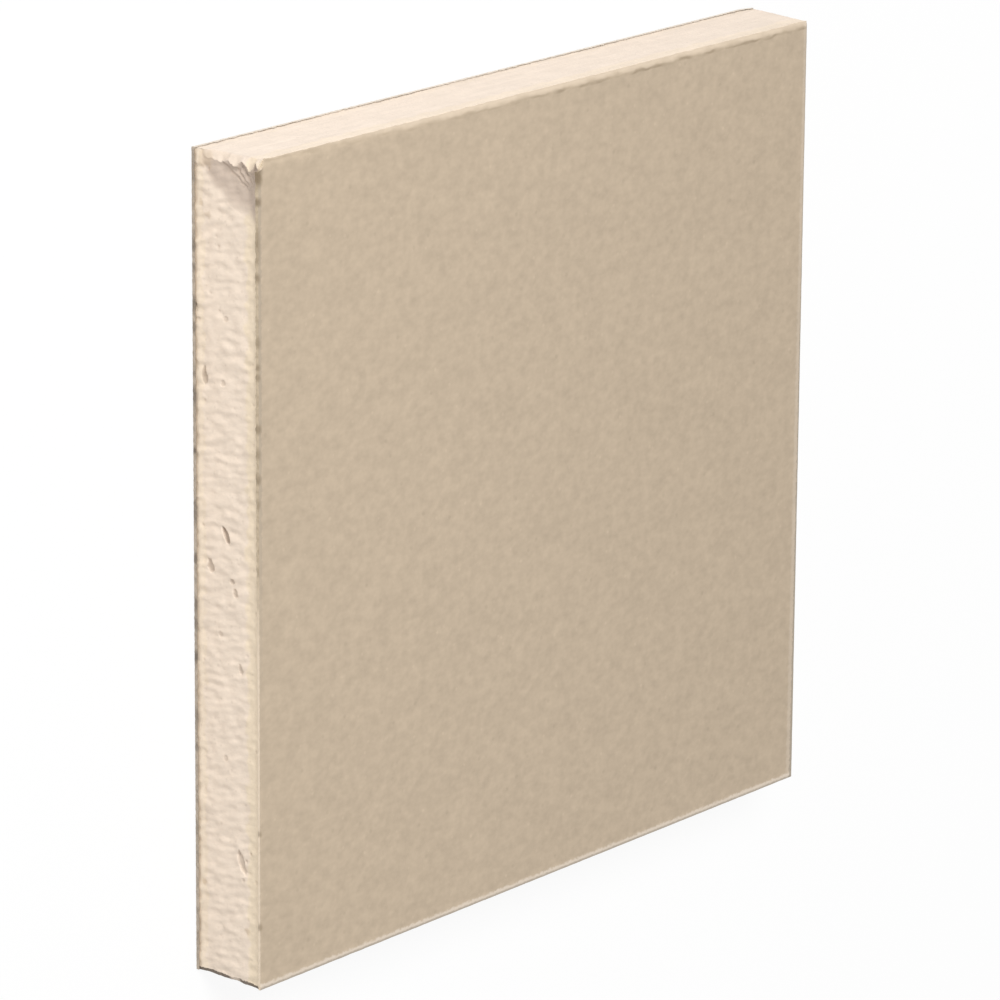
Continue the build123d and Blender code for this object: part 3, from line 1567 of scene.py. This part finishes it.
@dataclass
class PaperLiner:
    """One bonded paper liner with its cut rims."""

    name: str
    node: str
    slot: str
    finish: PaperFinish
    face_up: bool  # whether its seen face is its upper one
    forms: dict[Side, RimForm]
    knots: tuple[Knot, ...]
    torn_corner: float = 0.0  # at -X and +Y
    torn_form: RimForm = RimForm(bead=0.00004, tear=0.00030, tear_length=0.0007)
    stages: tuple[int, ...] = (20, 24)  # parts that each cut edge is divided into
    torn_stages: tuple[int, ...] = (16,)
    rows: int = 2
    rings: tuple[float, ...] = (0.00012, 0.00014, 0.00018, 0.00024, 0.0003, 0.0004, 0.0005, 0.0006)
    skin: float = 0.00004  # how far dragged paper stands off the core

    def __post_init__(self) -> None:
        """Takes the liner's box from the frame and sets out its rims."""
        self.low, self.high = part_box(self.node)
        self.reach = sum(self.rings)
        self.rims = [(side_rim(side, self.high), form) for side, form in self.forms.items()]
        if self.torn_corner:
            distance = DIAGONAL * (self.high.x + self.high.y - self.torn_corner)
            self.rims.append((Rim((-DIAGONAL, DIAGONAL), distance), self.torn_form))

    def build(self) -> Workpiece:
        """Models the liner.

        Returns:
            The piece, with its cut rims.
        """
        piece = Workpiece(self.name, self.low, self.high)
        if self.torn_corner:
            piece.cut_corner((self.low.x, self.high.y), self.torn_corner)
        piece.lay_rings(self.rings)
        for rim, form in self.rims:
            stages = self.torn_stages if form is self.torn_form else self.stages
            piece.split_rim(rim, stages, self.reach)
        piece.raise_solid(self.high.z - self.low.z)
        piece.split_upright(self.rows)
        self.ruffle(piece)
        return piece

    def ruffle(self, piece: Workpiece) -> None:
        """Shapes the cut rims.

        Args:
            piece: The plain sheet with its rims divided.
        """
        rest = piece.places()
        moves = np.zeros_like(rest)
        thickness = self.high.z - self.low.z
        for number, (rim, form) in enumerate(self.rims):
            inward, along = rim.inward(rest), rim.along(rest)
            for index in np.flatnonzero(inward < self.reach - TINY):
                run, height = along[index], rest[index, 2]
                up_share = (height - self.low.z) / thickness
                core_share = 1 - up_share if self.face_up else up_share
                rise = form.rise(inward[index], run, number) * (1 - core_share)
                torn = form.torn(run, height, number) * (1 - inward[index] / self.reach)
                if inward[index] < TINY:
                    rise -= form.dragged(run, number) * core_share
                    torn -= self.skin * core_share * (form.smear > 0)
                if abs(rise) > abs(moves[index, 2]):  # where two rims meet, the stronger one counts
                    moves[index, 2] = rise if self.face_up else -rise
                moves[index, :2] -= torn * np.array(rim.out)
        far_cut = FarCut(self.high.x, self.high.y, CAD_BOX[1][2])
        piece.press(moves + far_cut.shift(rest, self.reach))
        end = side_rim(Side.SAWN_END, self.high)
        shares = [knot.share(end.along(rest), end.inward(rest)) for knot in self.knots]
        piece.mark("knot", np.max(shares, axis=0))

    def dress(self, piece: Workpiece) -> None:
        """Gives the liner its finish and its place in the frame."""
        piece.finish(self.finish.material(self.high.x), self.slot, self.node)


@dataclass(frozen=True)
class FloorFinish:
    """A white floor that shows the object's shadow."""

    name: str = "white_floor"
    colour: Colour = (0.90, 0.90, 0.90)
    glow_share: float = 0.90  # of what the camera sees; the rest is lit and takes the shadow

    def material(self) -> bpy.types.Material:
        """Builds the material.

        Returns:
            The material.
        """
        material = bpy.data.materials.new(self.name)
        material.use_nodes = True
        bench = NodeBench(material.node_tree)
        lit = bench.node("BsdfDiffuse", {"Color": (*self.colour, 1)}).outputs[0]
        glow = bench.node("Emission", {"Color": (1, 1, 1, 1), "Strength": 1.0}).outputs[0]
        share = bench.product(bench.seen_straight(), self.glow_share)
        mixed = bench.node("MixShader", {0: share, 1: lit, 2: glow}).outputs[0]
        bench.node("OutputMaterial", {"Surface": mixed})
        return material


@dataclass(frozen=True)
class Lamp:
    """A square lamp that shines on the object."""

    name: str
    direction: Triple  # from the object to the lamp
    distance: float
    size: float
    power: float

    def hang(self) -> None:
        """Adds the lamp."""
        direction = Vector(self.direction).normalized()
        bpy.ops.object.light_add(type="AREA", location=direction * self.distance)
        lamp = bpy.context.object
        lamp.name = self.name
        lamp.rotation_euler = direction.to_track_quat("Z", "Y").to_euler()
        lamp.data.energy = self.power
        lamp.data.size = self.size


@dataclass
class Studio:
    """The floor, the light and the camera."""

    floor_size: float = 4.0
    floor_gap: float = 0.00005
    sky: float = 0.50
    key: Lamp = Lamp("key_lamp", (-0.38, 0.56, 0.74), 1.2, 0.46, 11.5)
    azimuth: float = 247.77  # degrees, as seen from above, 0 looking along +Y
    elevation: float = 38.69
    roll: float = 104.89  # turns the picture so that the trimmed edge is uppermost
    distance: float = 0.8552
    aim: Triple = (-0.00958, 0.00085, 0.0125)
    lens: float = 214.1
    sensor: float = 36

    def build(self) -> None:
        """Sets the stage."""
        self.lay_floor()
        self.light()
        self.aim_camera()
        bpy.context.scene.view_settings.view_transform = "Standard"

    def lay_floor(self) -> None:
        """Lays the floor under the object."""
        bpy.ops.object.select_all(action="DESELECT")
        bpy.ops.mesh.primitive_plane_add(size=self.floor_size, location=(0, 0, -self.floor_gap))
        floor = bpy.context.object
        floor.name = "floor"
        floor.data.materials.append(FloorFinish().material())

    def light(self) -> None:
        """Hangs the key lamp and sets the sky."""
        self.key.hang()
        world = bpy.data.worlds.new("white_studio")
        world.use_nodes = True
        bpy.context.scene.world = world
        bench = NodeBench(world.node_tree)
        strength = bench.span(bench.seen_straight(), 0, 1, (self.sky, 1.0))
        sky = bench.node("Background", {"Color": (1, 1, 1, 1), "Strength": strength})
        bench.node("OutputWorld", {"Surface": sky.outputs[0]})

    def aim_camera(self) -> None:
        """Puts the camera where the board was seen from."""
        turn, rise = math.radians(self.azimuth), math.radians(self.elevation)
        level = math.cos(rise)
        back = Vector((math.sin(turn) * level, -math.cos(turn) * level, math.sin(rise)))
        bpy.ops.object.camera_add(location=Vector(self.aim) + back * self.distance)
        camera = bpy.context.object
        camera.name = "camera"
        upright = back.to_track_quat("Z", "Y").to_matrix()
        rolled = upright @ Matrix.Rotation(math.radians(self.roll), 3, "Z")
        camera.rotation_euler = rolled.to_euler()
        camera.data.lens = self.lens
        camera.data.sensor_width = self.sensor
        bpy.context.scene.camera = camera


FACE_FINISH = PaperFinish(
    name="face_lining_paper",
    colour=(0.503, 0.406, 0.299),
    cut_colour=(0.55, 0.45, 0.325),
    knot_colour=(0.25, 0.19, 0.125),
    pale_cut_colour=(0.74, 0.62, 0.485),
    pale_below=0.9,
    ply=TornPly(),
    # the dark band at each of these cuts is painted shade
    worn_shaded_rims=(
        WornShadedRim(Side.NEAR_EDGE, painted_shade=0.42, shade_end=0.00042, scuff=0.75, scuff_end=0.0011),
        WornShadedRim(Side.FAR_END, painted_shade=0.75, shade_end=0.00042, scuff=0.25, scuff_end=0.0015),
        WornShadedRim(Side.SAWN_END, painted_shade=0.5, shade_end=0.0005, grows=(-0.035, 0.02)),
    ),
)
BACK_FINISH = PaperFinish(
    name="back_lining_paper",
    colour=(0.36, 0.30, 0.23),
    cut_colour=(0.48, 0.41, 0.335),
    knot_colour=(0.15, 0.125, 0.10),
    pale_cut_colour=(0.68, 0.605, 0.52),
    pale_below=0.0,
)
FACE_RIMS = {
    Side.SAWN_END: RimForm(fall=0.00006, tear=0.00006, smear=0.0003, grows=(-0.02, 0.015), least=0.1),
    Side.FAR_END: RimForm(fall=0.00018, fall_width=0.0005, tear=0.00003, tear_length=0.002),
    Side.TRIMMED_EDGE: RimForm(
        bead=0.00006, bead_place=0.0009, lump=0.0026, lumpiness=1.0, fall=0.00028, fall_width=0.0010,
        tear=0.00010, tear_length=0.0015, grows=(-0.008, 0.014),
    ),
    Side.NEAR_EDGE: RimForm(
        bead=0.00009, bead_place=0.00055, bead_spread=0.00025, lumpiness=0.3, fall=0.00016,
        fall_width=0.00035, least=1.0, tear=0.00003, tear_length=0.002,
    ),
}
BACK_RIMS = {
    Side.SAWN_END: RimForm(tear=0.00006, smear=0.00026, least=1.0),
    Side.FAR_END: RimForm(),
    Side.TRIMMED_EDGE: RimForm(smear=0.00050, least=1.0),
    Side.NEAR_EDGE: RimForm(),
}
# the first knot, by the torn corner, is painted shade in the gap under the torn paper
FACE_KNOTS = (
    Knot(0.0578, 0.0026, 1.25, 0.0009),
    Knot(0.0543, 0.0011, 1.1, 0.0007),
    Knot(0.0482, 0.0050, 0.55),
    Knot(0.0436, 0.0013, 0.75),
    Knot(0.0345, 0.0015, 0.6),
    Knot(0.0311, 0.0010, 0.65),
    Knot(0.0297, 0.0010, 0.7),
    Knot(0.0223, 0.0013, 0.9, 0.0006),
    Knot(0.0187, 0.0015, 0.6),
    Knot(0.0151, 0.0014, 0.8, 0.0005),
    Knot(0.0116, 0.0013, 0.5),
    Knot(-0.0366, 0.0008, 0.7),
    Knot(-0.0505, 0.0010, 0.8, 0.0005),
)
BACK_KNOTS = (
    Knot(0.0570, 0.0045, 0.4),
    Knot(0.0463, 0.0018, 0.8),
    Knot(0.0431, 0.0012, 0.7),
    Knot(0.0378, 0.0020, 0.9),
    Knot(0.0346, 0.0012, 0.7),
    Knot(0.0280, 0.0012, 0.6),
    Knot(0.0248, 0.0026, 0.9),
    Knot(0.0169, 0.0009, 1.0),
    Knot(0.0080, 0.0036, 0.75),
    Knot(0.0012, 0.0015, 0.9),
    Knot(-0.0054, 0.0020, 0.8),
    Knot(-0.0082, 0.0020, 0.8),
    Knot(-0.0132, 0.0018, 1.0),
    Knot(-0.0222, 0.0025, 0.6),
    Knot(-0.0266, 0.0010, 0.6),
    Knot(-0.0388, 0.0015, 0.4),
)


def main() -> None:
    """Builds the board and its studio."""
    logging.basicConfig(level=logging.INFO)
    parts = (
        PaperLiner(
            "back_paper_sheet", "back_liner", "back_paper", BACK_FINISH, False, BACK_RIMS, BACK_KNOTS,
        ),
        GypsumCore(),
        PaperLiner(
            "face_paper_sheet", "face_liner", "face_paper", FACE_FINISH, True, FACE_RIMS, FACE_KNOTS,
            torn_corner=0.0016,
        ),
    )
    for part in parts:
        part.dress(part.build())
    Studio().build()


if __name__ == "__main__":
    main()
